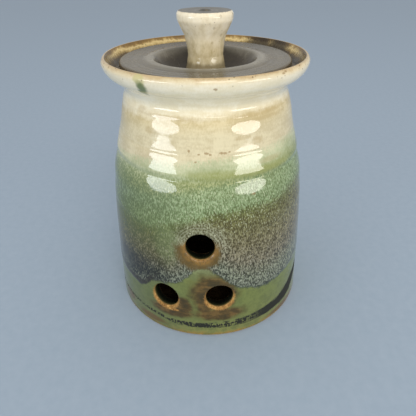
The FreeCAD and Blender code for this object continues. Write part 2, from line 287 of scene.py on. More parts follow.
def jarOutline():
    # From the axis under the foot, up the outside, over the rim, and down the inside to the floor.
    s = jarSizes
    rows = s["insideStep"]
    corners = [
        (0, s["hollowHeight"], 0, 0, rows), (s["hollowRadius"], s["hollowHeight"], 0.6, 0, 3.0),
        (s["standInner"], 0, 0.5, 0, rows), (s["standOuter"], 0, 0.4, 0, rows),
        (s["footRadius"], s["hollowHeight"], 0.4, 0, 0.5),
    ]
    height = s["wallFoot"]
    while height < s["shoulderTop"]:
        rise = s["outsideStep"] if height < s["ringFoot"] else s["ringStep"]
        height = min(height + rise, s["shoulderTop"])
        corners.append((wallRadius(height), height, 0, 0, s["outsideStep"]))
    flareFoot, flareMiddle, flareTop = s["flare"]
    corners += [
        (s["neckRadius"] + 0.5, s["neckHeight"] - 1.5, 0.8, 0, 0.4),
        (s["neckRadius"] - 0.4, s["neckHeight"] + 1.2, 3.5, 0, 0.5),
        (*flareFoot, 0, 0, 0.8), (*flareMiddle, 0, -0.25, 0.8), (*flareTop, 0, 0.65, 0.7),
        (s["rimRadius"] + 0.45, s["rimHeight"], 0, 0.3, 0.5),
        (s["rimRadius"] - 0.5, s["rimHeight"], 0, 0.25, 0.25),
        (s["galleryRadius"], s["ledgeHeight"], 1.5, -0.3, 0.7),
        (s["mouthRadius"], s["ledgeHeight"], 0.8, 0, 1.2), (s["mouthRadius"], s["mouthFoot"], 1.5, 0, 1.6),
        (wallRadius(s["shoulderFoot"]) - s["wall"], s["shoulderFoot"], 0, -1.6, rows),
    ]
    curveTop = s["floor"] + s["floorRound"] + 0.5
    count = round((s["shoulderFoot"] - curveTop) / rows)
    for row in range(1, count + 1):
        height = s["shoulderFoot"] + (curveTop - s["shoulderFoot"]) * row / count
        corners.append((wallRadius(height) - s["wall"], height, 0, 0, rows))
    corners.append((wallRadius(s["floor"]) - s["wall"], s["floor"], s["floorRound"], 0, rows))
    corners.append((0, s["floor"], 0, 0, 3.0))
    return traceOutline(corners)


def ventFrame(vent):
    # Straight out of a vent, and across it.
    turned = math.radians(vent["angle"])
    return Vector((math.sin(turned), -math.cos(turned), 0)), Vector((math.cos(turned), math.sin(turned), 0))


def onWall(vent, across, up, surface):
    # The point of a surface straight behind a place beside the vent's centre, in millimetres.
    height = vent["height"] + up
    turn = 0.0
    for attempt in range(4):
        turn = math.asin(across / surface(vent["angle"] + math.degrees(turn), height))
    radius = surface(vent["angle"] + math.degrees(turn), height)
    out, side = ventFrame(vent)
    return out * radius * math.cos(turn) + side * across + Vector((0, 0, height))


def openWall(shell, vent, surface, isSkin, clearing):
    # Takes one skin of the wall away round a vent and pulls the ragged edge onto a circle.
    across = ventFrame(vent)[1]

    def offCentre(place):
        return math.hypot(place.dot(across), place.z - vent["height"]) if place.y < 0 else math.inf

    gone = []
    for vert in shell.verts:
        place = vert.co / mm
        near = abs(place.z - vent["height"]) < clearing and offCentre(place) < clearing - 0.35
        if near and isSkin(math.hypot(place.x, place.y), place.z):
            gone.append(vert)
    bmesh.ops.delete(shell, geom=gone, context="VERTS")
    ragged = []
    for edge in shell.edges:
        middle = (edge.verts[0].co + edge.verts[1].co) / 2 / mm
        if edge.is_boundary and clearing - 0.8 < offCentre(middle) < clearing + 2.5:
            ragged.append(edge)
    loop = orderLoop(ragged)
    for vert in loop:
        place = vert.co / mm
        turned = math.atan2(place.z - vent["height"], place.dot(across))
        vert.co = onWall(vent, clearing * math.cos(turned), clearing * math.sin(turned), surface) * mm
    return loop


def orderLoop(edges):
    # The verts of a closed ring of edges, in order. The first edge starts it, so each run is the same.
    left = set(edges[1:])
    loop = [edges[0].verts[0], edges[0].verts[1]]
    while left:
        edge = next(e for e in loop[-1].link_edges if e in left)
        left.remove(edge)
        loop.append(edge.other_vert(loop[-1]))
    return loop[:-1]


def growRings(shell, vent, loop, surface, rings, inwards):
    # Extrudes a ring of verts again and again, onto circles of a radius and a depth into the wall.
    # The verts start where the ragged edge had them and are evenly spaced by the last circle.
    out, across = ventFrame(vent)
    turns = [math.atan2(v.co.z / mm - vent["height"], (v.co / mm).dot(across)) for v in loop]
    order = 1 if sum(1 for a, b in zip(turns, turns[1:]) if b > a) > len(turns) / 2 else -1
    for number, (radius, depth) in enumerate(rings, start=1):
        edges = [shell.edges.get(pair) for pair in zip(loop, loop[1:] + loop[:1])]
        made = bmesh.ops.extrude_edge_only(shell, edges=edges)["geom"]
        fresh = {v for v in made if isinstance(v, bmesh.types.BMVert)}
        loop = [next(e.other_vert(v) for e in v.link_edges if e.other_vert(v) in fresh) for v in loop]
        evenness = number / len(rings)
        for index, vert in enumerate(loop):
            even = turns[0] + order * math.tau * index / len(loop)
            slip = (turns[index] - even + math.pi) % math.tau - math.pi
            turned = even + slip * (1 - evenness)
            skinPoint = onWall(vent, radius * math.cos(turned), radius * math.sin(turned), surface)
            vert.co = (skinPoint - out * depth * inwards) * mm
    return loop


def quarterRound(radius, rounding, steps):
    # (radius, depth) pairs down a hole's rounded edge.
    turns = [math.radians(90 * step / steps) for step in range(steps + 1)]
    return [(radius + rounding * (1 - math.sin(t)), rounding * (1 - math.cos(t))) for t in turns]


def cutVent(shell, vent):
    # A hole bored through the leather-hard wall, with its edges sponged round.
    radius, outer, inner = ventSizes["radius"], ventSizes["outerRound"], ventSizes["innerRound"]
    outerRings = [(radius + outer + 0.6, 0.0), *quarterRound(radius, outer, 6), (radius, outer + 0.6),
                  (radius, outer + 1.3)]
    innerRings = [(radius + inner + 0.8, 0.0), *quarterRound(radius, inner, 3), (radius, inner + 0.5)]
    front = openWall(shell, vent, outsideRadius, isOutside, ventSizes["outerClearing"])
    front = growRings(shell, vent, front, outsideRadius, outerRings, 1)
    back = openWall(shell, vent, insideRadius, isInside, ventSizes["innerClearing"])
    back = growRings(shell, vent, back, insideRadius, innerRings, -1)
    edges = [shell.edges.get(pair) for ring in (front, back) for pair in zip(ring, ring[1:] + ring[:1])]
    bmesh.ops.bridge_loops(shell, edges=edges)


def jarFinish(place):
    # Which material a face of the jar wears.
    f = jarFinishes
    radius = math.hypot(place.x, place.y)
    if place.z < f["standTop"] or (place.z < f["hollowTop"] and radius < jarSizes["standOuter"]):
        return f["clay"]
    inRim = place.z > f["washFoot"] and radius < jarSizes["rimRadius"] - 0.2
    if inRim and (place.z > f["ledgeTop"] or radius < f["ledgeReach"]):
        return f["ironWash"]
    if place.z > jarSizes["neckHeight"] - 1 and radius < f["mouthReach"]:
        return f["liner"]
    depth = f["linerDepth"] if place.z < jarSizes["shoulderFoot"] else f["linerDepthAbove"]
    if place.z < jarSizes["neckHeight"] and radius < wallRadius(place.z) - depth:
        return f["liner"]
    return f["glaze"]


def makeJar(materials):
    shell = spinOutline(jarOutline(), jarSizes["segments"])
    for vert in shell.verts:
        place, radius, angle = polar(vert)
        if isOutside(radius, place.z):
            moveOut(vert, radius, outsideRadius(angle, place.z))
        elif isInside(radius, place.z):
            moveOut(vert, radius, insideRadius(angle, place.z))
        elif place.z > jarSizes["neckHeight"] + 2 and radius > jarSizes["mouthRadius"] + 1:
            moveOut(vert, radius, radius + 0.05 + 0.5 * handPush(angle, place.z))
    for vent in vents:
        cutVent(shell, vent)
    bmesh.ops.recalc_face_normals(shell, faces=shell.faces)
    for face in shell.faces:
        face.material_index = jarFinish(face.calc_center_median() / mm)
    finishPiece(shell, "stoneware_jar", "jar", "jar", materials)


lidSizes = {
    "radius": 34.7,
    "seat": 111.0,
    "top": 114.7,
    "lipRadius": 21.4,       # the ring's raised edge round the well
    "lipHeight": 115.1,
    "wellRadius": 12.5,
    "wellFloor": 105.4,
    "dishRadius": 28.0,      # the rounded underside
    "dishFlat": 12.5,
    "dishBottom": 100.4,
    "plainRadius": 9.5,      # nothing is turned under the knob
    "markPitch": 2.3,        # the fine turning marks
    "markDepth": 0.03,
    "wave": 0.1,
    "segments": 256,
}


def makeLid(materials):
    # Its materials are the lid's glaze, the liner glaze of the dish and the bare clay of the seat.
    s = lidSizes
    corners = [
        (0, s["dishBottom"], 0, 0, 1), (s["dishFlat"], s["dishBottom"], 1.2, 0, 1.5),
        (s["dishRadius"], s["seat"], 0.5, 1.4, 1.0), (s["radius"], s["seat"], 1.1, 0, 0.8),
        (s["radius"], s["top"], 1.1, 0, 0.5), (s["lipRadius"] + 5.0, s["top"] - 0.2, 6.0, 0, 0.5),
        (s["lipRadius"], s["lipHeight"], 2.0, 0, 0.35), (s["wellRadius"], s["wellFloor"], 3.5, -0.5, 0.4),
        (0, s["wellFloor"], 0, 0, 0.5),
    ]
    shell = spinOutline(traceOutline(corners), s["segments"])
    for vert in shell.verts:
        place, radius, angle = polar(vert)
        inWell = radius < s["lipRadius"] and place.z > s["wellFloor"] - 0.1
        if radius > s["plainRadius"] and (inWell or place.z > s["top"] - 0.8):
            marks = s["markDepth"] * math.sin(math.tau * (radius / s["markPitch"] + angle / 360))
            wave = s["wave"] * noise.noise(Vector((place.x / 9, place.y / 9, 3.0)))
            soft = fade(radius, s["plainRadius"], 12) * (1 - fade(radius, 32.5, 34.2))
            vert.co.z += (marks + wave - s["wave"]) * soft * mm
    for face in shell.faces:
        place = face.calc_center_median() / mm
        isUnder = place.z < s["seat"] + 1.2 and face.normal.z < 0.3
        onSeat = math.hypot(place.x, place.y) > s["dishRadius"] - 1
        face.material_index = isUnder + (isUnder and onSeat)
    finishPiece(shell, "stoneware_lid", "lid", "lid", materials)


knobSizes = {
    "seat": 105.4,
    "base": 9.2,             # radii, each with its height, going up
    "spread": 8.0, "spreadHeight": 111.0,
    "waist": 7.2, "waistHeight": 115.6,
    "stem": 8.0, "stemHeight": 122.5,
    "flare": 11.1, "flareHeight": 128.5,
    "head": 11.0, "headHeight": 130.5,
    "disc": 10.3, "discHeight": 131.5,
    "nub": 1.5, "nubHeight": 131.98,
    "wave": 0.14,
    "ringPitch": 2.6,        # throwing rings on the stem, and turning marks on the disc
    "ringDepth": 0.012,
    "markPitch": 1.9,
    "markDepth": 0.04,
    "segments": 160,
}


def makeKnob(materials):
    s = knobSizes
    corners = [
        (0, s["seat"], 0, 0, 1), (s["base"], s["seat"], 0, 0, 2.0),
        (s["spread"], s["spreadHeight"], 4.0, 0, 0.6), (s["waist"], s["waistHeight"], 3.0, 0, 0.5),
        (s["stem"], s["stemHeight"], 9.0, -0.1, 0.6), (s["flare"], s["flareHeight"], 3.4, 0, 0.5),
        (s["head"], s["headHeight"], 0.7, 0.05, 0.2), (s["disc"], s["discHeight"], 0.4, 0, 0.3),
        (s["nub"] + 1.2, s["discHeight"] - 0.1, 1.0, 0, 0.6),
        (s["nub"], s["nubHeight"] - 0.15, 0.4, 0, 0.25), (0, s["nubHeight"], 0, 0.05, 0.3),
    ]
    shell = spinOutline(traceOutline(corners), s["segments"])
    for vert in shell.verts:
        place, radius, angle = polar(vert)
        if radius < 0.3:
            continue
        wave = s["wave"] * noise.noise(Vector((place.x / 8, place.y / 8, place.z / 10 + 5)))
        rings = s["ringDepth"] * math.sin(math.tau * (place.z / s["ringPitch"] + angle / 360))
        held = fade(place.z, s["seat"] + 0.5, s["seat"] + 4)
        moveOut(vert, radius, radius + (wave + rings) * held * min(1.0, radius / 7))
        if place.z > s["discHeight"] - 0.3 and radius > s["nub"] + 0.3:
            marks = math.sin(math.tau * (radius / s["markPitch"] + angle / 360))
            vert.co.z += s["markDepth"] * (marks - 1) * mm
    finishPiece(shell, "stoneware_knob", "lid", "knob", materials)


def linearColour(hexColour):
    # The sRGB curve.
    channels = [int(hexColour[place:place + 2], 16) / 255 for place in (1, 3, 5)]
    return [*(c / 12.92 if c <= 0.04045 else ((c + 0.055) / 1.055) ** 2.4 for c in channels), 1.0]


modeNames = {"Math": "operation", "VectorMath": "operation", "Mix": "data_type",
             "MapRange": "interpolation_type", "TexNoise": "noise_dimensions"}
# The two kinds that are used most, each with its mode. Smooth takes a value, where it starts to
# change and where it ends, and what it goes from and to if not 0 and 1.
smooth = ("MapRange", "SMOOTHSTEP")
times = ("Math", "MULTIPLY")


def addNode(nodes, kind, mode, *inputs, **namedInputs):
    # Adds one shader node. Its mode is an operation or a type, a ramp's stops or a curve's points.
    # Inputs go to its live sockets in order, or by the socket's name. Each is a number, a vector, a
    # hex colour, a socket, or a node, which gives its first live output.
    node = nodes.new("ShaderNode" + kind)
    if kind == "ValToRGB":
        ramp = node.color_ramp.elements
        while len(ramp) < len(mode):
            ramp.new(1.0)
        for stop, (place, colour) in zip(ramp, mode):
            stop.position = place
            stop.color = linearColour(colour)
    elif kind == "FloatCurve":
        points = node.mapping.curves[0].points
        while len(points) < len(mode):
            points.new(0.5, 0.5)
        for point, place in zip(points, mode):
            point.location = place
            point.handle_type = "VECTOR"
        node.mapping.update()
    elif mode:
        setattr(node, modeNames[kind], mode)
    live = [socket for socket in node.inputs if socket.enabled]
    byName = {socket.name.replace(" ", "").lower(): socket for socket in live}
    targets = live[:len(inputs)] + [byName[name.lower()] for name in namedInputs]
    for target, source in zip(targets, [*inputs, *namedInputs.values()]):
        if isinstance(source, str):
            source = linearColour(source)
        if isinstance(source, bpy.types.Node):
            source = next(socket for socket in source.outputs if socket.enabled)
        if isinstance(source, bpy.types.NodeSocket):
            nodes.id_data.links.new(source, target)
        else:
            target.default_value = source
    return node


def newMaterial(name):
    # An empty material, addNode for its nodes, and where a point of the pot is, in millimetres.
    material = bpy.data.materials.new(name)
    material.use_nodes = True
    nodes = material.node_tree.nodes
    nodes.clear()
    add = partial(addNode, nodes)
    return material, add, add("VectorMath", "SCALE", add("TexCoord", None).outputs["Object"], scale=1 / mm)


def fromAxis(add, place):
    return add("VectorMath", "LENGTH", add("VectorMath", "MULTIPLY", place, (1.0, 1.0, 0.0)))


def shifted(add, base, *swings):
    # Adds noises to a value, each as (noise, how far it swings the value up and down).
    for source, spread in swings:
        base = add("Math", "MULTIPLY_ADD", add("Math", "SUBTRACT", source, 0.5), spread, base)
    return base


def layWashes(add, colour, *washes):
    # Lays washes over a colour, each as (mask, strength, colour of the wash).
    for mask, strength, wash in washes:
        colour = add("Mix", "RGBA", add(*times, mask, strength), colour, wash)
    return colour


def strongest(add, masks):
    result = masks[0]
    for mask in masks[1:]:
        result = add("Math", "MAXIMUM", result, mask)
    return result


def lumps(add, place, size, detail=3.0, up=1.0, across=1.0):
    # A noise whose lumps are about "size" millimetres. They are longer up or across, where it is under 1.
    stretched = add("VectorMath", "MULTIPLY", place, (across, across, up))
    return add("TexNoise", "3D", stretched, scale=1 / size, detail=detail, roughness=0.58)


def ironSpecks(add, place, spacing, size, share):
    # Round specks where grains of iron in the clay melt through: "share" of the cells have one.
    cells = add("TexVoronoi", None, place, scale=1 / spacing)
    chosen = add("SeparateColor", None, cells.outputs["Color"]).outputs["Red"]
    ragged = shifted(add, cells.outputs["Distance"], (lumps(add, place, size * 0.7), 0.35))
    spot = add(*smooth, ragged, size / spacing, 0.45 * size / spacing)
    return add(*times, spot, add(*smooth, chosen, share, share - 0.02))


def pitMarks(add, place, marks, soft=0.5):
    # Single marks, each given as (x, y, z, size).
    rough = lumps(add, place, 0.5)
    masks = []
    for x, y, z, size in marks:
        ragged = shifted(add, add("VectorMath", "DISTANCE", place, (x, y, z)), (rough, size))
        masks.append(add(*smooth, ragged, size, size * (1 - soft)))
    return strongest(add, masks)


def finishMaterial(add, colour, roughness, relief, depth, strength=0.6, ior=1.5):
    # Relief is a height whose full swing is "depth" millimetres.
    bump = add("Bump", None, strength=strength, distance=depth * mm, height=relief)
    surface = add("BsdfPrincipled", None, baseColor=colour, roughness=roughness, ior=ior, normal=bump)
    add("OutputMaterial", None, surface)


glazeSizes = {
    "curveTop": 120.0,       # height that a curve's 1 stands for
    "curveRadius": 50.0,
    "curveWidth": 10.0,
    "unrolled": 45.5,        # radius at which the wall is unrolled flat
    "zoneTop": 116.4,
    "needleSize": 0.5,       # the needles are this wide and 1.3 mm long
    "grainSize": 0.58,
    "rippleWidth": 1.15,
}

# The dark brushed line near the foot: its height and half its width.
footLine = {
    "height": ((-180, 8), (-150, 6.5), (-100, 7), (-60, 8.8), (-43, 9.0), (-30, 8.4), (-19, 7), (20, 7.1),
               (35, 7.8), (45, 8.2), (53, 9.1), (60, 11), (67, 14), (77, 16.8), (92, 18.5), (108, 17),
               (135, 11), (180, 8)),
    "halfWidth": ((-180, 0.8), (-100, 0.5), (-43, 0.7), (-30, 0.8), (-19, 1.3), (0, 1.6), (20, 2.0),
                  (35, 2.5), (45, 2.8), (53, 3.7), (60, 4.6), (68, 3.9), (80, 2.5), (92, 1.5), (108, 1.1),
                  (135, 0.9), (180, 0.8)),
}

# How much darker the upper glaze is round the left side: painted shade, partly a thinner coat.
shadeAndThinGlazeLeft = ((-180, 0.3), (-100, 0.9), (-45, 1.0), (-28, 0.8), (-14, 0.3), (-8, 0), (100, 0), (180, 0.3))

# Soft patches on the unrolled wall, each as (angle, height, half across, half up).
washPatches = {
    "brown": ((3.0, 26, 10.5, 11.0), (-2.0, 20, 3.6, 9.0), (6.0, 14.0, 11.5, 3.9), (-21.5, 13.6, 11.0, 3.2),
              (-14.5, 17.5, 4.5, 5.5)),
    "amber": ((-4.8, 48.0, 9.3, 9.6),),
    "halo": ((-3.9, 52.5, 11.8, 10.2),),
    "dripTop": ((-31.7, 114.6, 2.6, 1.9),),
    "dripCore": ((-31.6, 111.8, 2.3, 2.2), (-33.0, 109.9, 2.2, 1.4)),
    "tan": ((-35.5, 95, 2.2, 1.3), (31, 91.6, 2.6, 1.4), (22, 93.5, 3.5, 0.8), (38, 99.0, 14.0, 0.7),
            (-43, 101.5, 3.0, 1.2), (35, 101.0, 14.0, 1.0), (-20, 100.6, 16.0, 0.8), (39, 83.5, 7.0, 1.1)),
    "foot": ((-36, 4.2, 7.5, 1.9), (-58, 7.0, 5.0, 2.6), (52, 2.6, 12.0, 1.4)),
    "olive": ((6, 80.8, 14.0, 1.8), (34, 80.4, 16.0, 1.5)),
    "green": ((-22.5, 50.0, 5.5, 9.0), (-38.0, 60.0, 9.0, 4.0)),
    "slate": ((-46, 33.5, 15.0, 5.5),),
    # rust specks in a loose row on the shoulder, and a scar at the rim
    "rust": ((-9.5, 89.7, 0.6, 0.4), (-4.0, 88.6, 0.5, 0.3), (0.3, 89.0, 1.0, 0.45), (2.4, 88.5, 0.6, 0.35),
             (8.6, 88.9, 0.9, 0.4), (10.6, 88.8, 0.9, 0.4), (13.2, 89.1, 0.5, 0.3), (-5.6, 85.9, 0.5, 0.3),
             (5, 113, 0.7, 0.4), (40.2, 115.5, 0.8, 0.35), (41.8, 115.9, 0.7, 0.3), (25.5, 72.2, 1, 0.4)),
    # where the vents' edges were wiped, and where the sponge ran on past the left one
    "bare": (*((v["angle"], v["height"] - v["wipedDown"], v["wiped"], v["wiped"]) for v in vents),
             (-21.2, 14.6, 3.4, 0.9)),
}

# The upper glaze by zone, as (zone, dark ground, milky crystals). Zone 0 is its thick lower edge,
# 1/3 the top of the brown, 2/3 the foot of the cream and 1 the rim.
glazeZones = (
    (0.0, "#1C2217", "#343F2B"), (0.014, "#2C2F25", "#808775"), (0.06, "#353829", "#8F9580"),
    (0.13, "#38321F", "#8E8872"), (0.2, "#463F24", "#8B8565"), (0.3, "#4A4520", "#77774A"),
    (0.335, "#4D5026", "#78804C"), (0.37, "#647449", "#94A77C"), (0.5, "#6B7B50", "#9DAF86"),
    (0.535, "#868E5B", "#A3A978"), (0.56, "#8F9763", "#A3A97B"), (0.6, "#A3AB83", "#B9BF98"),
    (0.65, "#B6B792", "#C9C9A6"), (0.675, "#C7BA98", "#D9CEAD"), (0.76, "#CABC98", "#DCD0AE"),
    (0.812, "#C6B488", "#DACAA2"), (0.84, "#E3D6B6", "#EEE5CC"), (0.93, "#E6DBBC", "#F0E7CF"),
    (0.975, "#E6DABD", "#F0E6CE"), (0.99, "#D6C49E", "#E2D3B2"), (1.0, "#B59A70", "#C9B189"),
)


def aroundPot(add, turn, table, top=glazeSizes["curveTop"]):
    # Reads an (angle, value) table round the pot. Top is the value that the curve's 1 stands for.
    points = [(angle / 360 + 0.5, value / top) for angle, value in table]
    return add(*times, add("FloatCurve", points, value=turn), top)


def patchMask(add, flat, rough, name, soft, ragged=0.9):
    # 1 inside any of the patches of that name, falling to 0 over their soft, uneven edges.
    masks = []
    for angle, height, across, up in washPatches[name]:
        centre = (-math.radians(angle) * glazeSizes["unrolled"] / across, 0, -height / up)
        near = add("VectorMath", "MULTIPLY_ADD", flat, (1 / across, 0, 1 / up), centre)
        reach = shifted(add, add("VectorMath", "LENGTH", near), (rough, ragged))
        masks.append(add(*smooth, reach, 1 + soft, 1 - soft))
    return strongest(add, masks)


def zoneUpTheWall(add, height, turn, noises):
    # How far up the upper glaze's zones a point is, and its height above that glaze's lower edge.
    needles, grain, blotch, cloud = [noises[name] for name in ("needles", "grain", "blotch", "cloud")]
    edges = [aroundPot(add, turn, table) for table in glazeEdges.values()]
    edges.append(glazeSizes["zoneTop"])
    heights = (shifted(add, height, (grain, 3.0), (blotch, 3.2)),
               shifted(add, height, (needles, 9.0), (cloud, 4.0)),
               shifted(add, height, (blotch, 2.5), (cloud, 2.5)))
    zone = 0.0
    for value, low, high in zip(heights, edges, edges[1:]):
        zone = add("Math", "ADD", add("MapRange", "LINEAR", value, low, high, 0.0, 1 / 3), zone)
    return zone, add("Math", "SUBTRACT", heights[0], edges[0])


def addVentRunOff(add, colour, flat, height, noises):
    # Round the upper vent the glaze drew back in fine ripples, and below it iron ran out amber.
    blotch, grain = noises["blotch"], noises["grain"]
    centre = (-math.radians(vents[0]["angle"]) * glazeSizes["unrolled"], 0, -vents[0]["height"])
    fromVent = add("VectorMath", "LENGTH", add("VectorMath", "ADD", flat, centre))
    fromVent = shifted(add, fromVent, (blotch, 2.0))
    waves = add("Math", "SINE", add(*times, fromVent, math.tau / glazeSizes["rippleWidth"]))
    rippled = add(*times, add(*smooth, fromVent, 7.0, 7.8), add(*smooth, fromVent, 12.5, 9.5))
    rippled = add(*times, rippled, add(*smooth, waves, -0.2, 0.9))
    rippled = add(*times, rippled, add(*smooth, height, 49.0, 54.0))
    amber = add("ValToRGB", ((0.3, "#5B4413"), (0.55, "#856328"), (0.75, "#A0773A")), blotch)
    amber = layWashes(add, amber, (add(*smooth, fromVent, 7.2, 9.4), 0.8, "#55451A"),
                      (add(*smooth, grain, 0.5, 0.62), 0.5, "#4A3915"))
    belowVent = add(*smooth, height, 50.0, 54.5, 1.0, 0.0)
    amberMask = add(*times, patchMask(add, flat, blotch, "amber", 0.2), belowVent)
    return layWashes(add, colour, (rippled, 0.34, "#A6A890"), (amberMask, 0.94, amber))


def makeUpperGlaze(add, flat, height, turn, noises):
    # The thick rutile coat: its colour, where it lies, and how much darker it is on the left, which is
    # painted shade and partly a thinner coat.
    needles, grain, blotch, cloud = [noises[name] for name in ("needles", "grain", "blotch", "cloud")]
    zone, aboveEdge = zoneUpTheWall(add, height, turn, noises)
    rampHeight = add(*times, height, 0.01)

    # long needles in the green, short grains in the brown, and only soft clouding above the creases
    flecks = add("Mix", "FLOAT", add(*smooth, zone, 0.3, 0.4, 1.0, 0.0), needles, grain)
    flecks = add(*smooth, shifted(add, flecks, (noises["clumps"], 0.3)), 0.38, 0.68)
    clouding = shifted(add, cloud, (noises["brush"], 0.5), (grain, 0.6), (blotch, 0.5))
    clouding = add(*smooth, clouding, 0.3, 0.72)
    milky = add("Mix", "FLOAT", add(*smooth, height, 78.0, 82.5), flecks, clouding)
    ground = add("ValToRGB", [(place, dark) for place, dark, light in glazeZones], zone)
    milk = add("ValToRGB", [(place, light) for place, dark, light in glazeZones], zone)
    colour = add("Mix", "RGBA", milky, ground, milk)
    halo = add(*times, patchMask(add, flat, blotch, "halo", 0.2), milky)
    sparks = add(*times, add(*smooth, noises["sparks"], 0.6, 0.68), add(*smooth, height, 79.0, 74.0))
    sparkColour = add("ValToRGB", ((0.3, "#A9ADA2"), (0.5, "#B0AB95"), (0.62, "#C4CBA9")), rampHeight)

    # the left side is darker under the mint: painted shade, partly a thinner coat
    leftShadeAndThinGlaze = aroundPot(add, turn, shadeAndThinGlazeLeft, 1.0)
    belly = add(*smooth, height, 72.0, 84.0, 1.0, 0.0)
    leftShadeUnderMint = add(*times, add(*times, leftShadeAndThinGlaze, belly), add(*smooth, milky, 0.0, 1.0, 1.0, 0.42))
    smoky = add("ValToRGB", ((0.0, "#15160E"), (0.25, "#181912"), (0.34, "#191A13"), (0.44, "#444424"),
                             (0.58, "#536038"), (0.8, "#6C7C5A")), rampHeight)
    # along the glaze's lower edge the left is darker still, with the painted shade of the left side
    darkEdge = add(*times, add(*smooth, leftShadeAndThinGlaze, 0.75, 0.95), add(*smooth, aboveEdge, 5.0, 2.0))
    colour = layWashes(add, colour, (halo, 0.4, "#A0A690"),
                       (patchMask(add, flat, blotch, "green", 0.5), 0.5, "#8B9C6C"),
                       (sparks, 0.6, sparkColour), (leftShadeUnderMint, 1.0, smoky),
                       (patchMask(add, flat, noises["clumps"], "slate", 0.5), 0.55, "#14150F"),
                       (darkEdge, 0.85, "#251D12"),
                       (patchMask(add, flat, blotch, "olive", 0.5), 0.55, "#8F9354"))
    colour = addVentRunOff(add, colour, flat, height, noises)
    colour = layWashes(add, colour, (patchMask(add, flat, grain, "tan", 0.5), 0.33, "#AD9462"),
                       (patchMask(add, flat, blotch, "dripTop", 0.3), 0.75, "#C4BC84"),
                       (patchMask(add, flat, blotch, "dripCore", 0.4), 0.92, "#5E6E3C"))
    return colour, add(*smooth, aboveEdge, -0.9, 0.9), leftShadeAndThinGlaze


def makeLowerGlaze(add, flat, height, leftShadeAndThinGlaze, noises):
    # The thinner green coat at the foot, with iron brushed on round the vents.
    blotch, brush, grain = noises["blotch"], noises["brush"], noises["grain"]
    rampHeight = add(*times, shifted(add, height, (blotch, 5.0)), 1 / 42)
    green = add("ValToRGB", ((0.0, "#9A7444"), (0.03, "#86733A"), (0.07, "#787A44"), (0.2, "#6E7541"),
                             (0.5, "#6D773F"), (0.8, "#747D43"), (1.0, "#828966")), rampHeight)
    iron = add("ValToRGB", ((0.3, "#32230B"), (0.5, "#4A3513"), (0.7, "#6A4F25")),
               shifted(add, blotch, (brush, 0.7)))
    mottled = add(*smooth, shifted(add, blotch, (grain, 0.5), (brush, 0.5)), 0.35, 0.7)
    # the green is darker on the left too: painted shade, partly a thinner coat
    return layWashes(add, green, (mottled, 0.45, "#4E5631"), (leftShadeAndThinGlaze, 0.4, "#49523A"),
                     (patchMask(add, flat, blotch, "brown", 0.32), 0.92, iron),
                     (patchMask(add, flat, brush, "foot", 0.4), 0.8, "#5F4524"))


def makeFootLine(add, height, turn, noises):
    # Brushed on as the wheel turned, so it breaks into dashes where the brush ran dry.
    lineHeight = aroundPot(add, turn, footLine["height"])
    halfWidth = aroundPot(add, turn, footLine["halfWidth"], glazeSizes["curveWidth"])
    off = add("Math", "ABSOLUTE", add("Math", "SUBTRACT", height, lineHeight))
    off = add("Math", "DIVIDE", shifted(add, off, (noises["grain"], 1.4)), halfWidth)
    inLine = add(*smooth, shifted(add, off, (noises["brush"], 0.9)), 1.15, 0.85)
    dashes = shifted(add, noises["dashes"], (noises["brush"], 0.9))
    wet = strongest(add, [add(*smooth, dashes, 0.43, 0.5), add(*smooth, halfWidth, 1.8, 2.5)])
    return add(*times, inLine, wet)


def depthInWall(add, height, radius):
    # How far behind the wall's outside a point is.
    rows = [share / 10 for share in range(11)]
    points = [(row, wallRadius(row * glazeSizes["curveTop"]) / glazeSizes["curveRadius"]) for row in rows]
    wall = add("FloatCurve", points, value=add(*times, height, 1 / glazeSizes["curveTop"]))
    return add("Math", "SUBTRACT", add(*times, wall, glazeSizes["curveRadius"]), radius)


